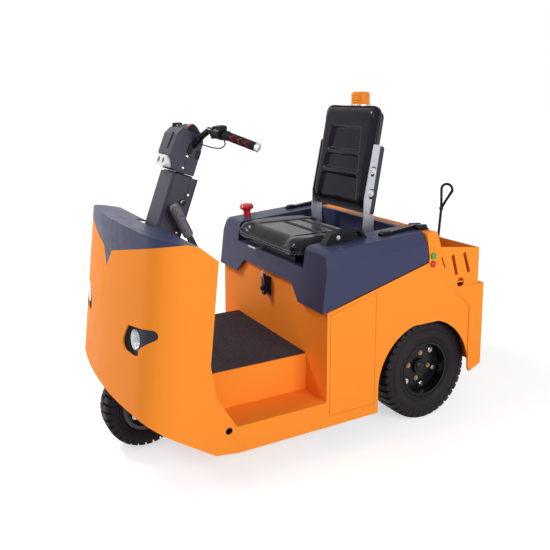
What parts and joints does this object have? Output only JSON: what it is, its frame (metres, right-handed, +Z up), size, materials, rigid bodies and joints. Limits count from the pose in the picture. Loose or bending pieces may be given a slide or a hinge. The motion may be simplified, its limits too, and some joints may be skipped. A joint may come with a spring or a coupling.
{
  "type": "electric tow tractor",
  "caption": "Seated three-wheel electric tow tractor with handlebar steering, tilting seat hood over the battery, rear tray and a pin coupling.",
  "frame": {"origin": "on the ground, at the middle of the overall length and width", "axes": "+X forward, +Y to the driver's left, +Z up"},
  "size_m": [1.702, 0.896, 1.35],
  "materials": {
    "orange_paint": "gloss",
    "slate_plastic": "satin",
    "dark_plastic": "satin",
    "black_plastic": "satin",
    "black_paint": "satin",
    "bare_steel": "brushed",
    "cast_grey": "matte",
    "seat_leather": "matte",
    "mat_rubber": "matte",
    "grey_rubber": "matte",
    "grip_rubber": "matte",
    "tyre_rubber": "matte",
    "lamp_glass": "clear",
    "amber_plastic": "clear",
    "red_plastic": "gloss",
    "green_plastic": "gloss",
    "pale_plastic": "satin",
    "battery_case": "matte"
  },
  "bodies": {
    "chassis": {"floor_pan": "orange_paint", "floor_mat": "mat_rubber", "front_cowl": "orange_paint", "cowl_cap": "slate_plastic", "lamp_plates": "slate_plastic", "headlamps": "lamp_glass", "bulkhead": "orange_paint", "front_frame": "black_paint", "steering_column": "dark_plastic", "brake_lever": "black_paint", "brake_grip": "grey_rubber", "underframe": "black_paint", "battery": "battery_case", "battery_wall": "orange_paint", "side_panels": "orange_paint", "side_covers": "orange_paint", "fender_plates": "orange_paint", "hinge_beam": "orange_paint", "rear_tray": "orange_paint", "rear_plate": "orange_paint", "tow_bracket": "black_paint", "switch_plate": "orange_paint", "green_button": "green_plastic", "red_button": "red_plastic", "drive_axle": "cast_grey", "hood_latch": "black_plastic", "hinge_blocks": "black_paint"},
    "hood": {"hood_shell": "slate_plastic", "hinge_arms": "black_paint", "seat_base": "black_plastic", "seat_cushion": "seat_leather", "seat_back": "seat_leather", "back_shell": "dark_plastic", "seat_brackets": "bare_steel", "hip_guard": "black_plastic", "seat_lever": "bare_steel", "beacon_base": "black_plastic", "beacon_lens": "amber_plastic", "stop_button": "red_plastic"},
    "handlebar": {"control_head": "dark_plastic", "head_trim": "pale_plastic", "handlebar": "black_paint", "grips": "grip_rubber", "switch_pods": "black_plastic", "bar_cable": "grip_rubber"},
    "fork": {"fork": "black_paint"},
    "front_wheel": {"front_rim": "cast_grey", "front_tyre": "tyre_rubber"},
    "rear_wheel_left": {"rear_rim_left": "black_paint", "rear_tyre_left": "tyre_rubber"},
    "rear_wheel_right": {"rear_rim_right": "black_paint", "rear_tyre_right": "tyre_rubber"},
    "tow_pin": {"tow_pin": "black_paint"}
  },
  "joints": [
    {"name": "handlebar_turn", "type": "hinge", "parent": "chassis", "child": "handlebar", "pos_m": [0.50893, 0, 1.03419], "axis": [-0.3305, 0, 0.9438], "range_deg": [-45, 45]},
    {"name": "fork_turn", "type": "hinge", "parent": "chassis", "child": "fork", "pos_m": [0.677, 0, 0.4], "axis": [0, 0, 1], "range_deg": [-45, 45]},
    {"name": "front_wheel_spin", "type": "hinge", "parent": "fork", "child": "front_wheel", "pos_m": [0.677, 0, 0.158], "axis": [0, 1, 0], "continuous": true},
    {"name": "rear_left_spin", "type": "hinge", "parent": "chassis", "child": "rear_wheel_left", "pos_m": [-0.4, 0.327, 0.213], "axis": [0, 1, 0], "continuous": true},
    {"name": "rear_right_spin", "type": "hinge", "parent": "chassis", "child": "rear_wheel_right", "pos_m": [-0.4, -0.327, 0.213], "axis": [0, 1, 0], "continuous": true},
    {"name": "hood_lid", "type": "hinge", "parent": "chassis", "child": "hood", "pos_m": [-0.35, 0, 0.813], "axis": [0, -1, 0], "range_deg": [0, 60]},
    {"name": "tow_pin_lift", "type": "slide", "parent": "chassis", "child": "tow_pin", "axis": [0, 0, 1], "range_m": [0, 0.06]}
  ],
  "couplings": [
    {"joint": "fork_turn", "follows": "handlebar_turn", "ratio": 1}
  ]
}
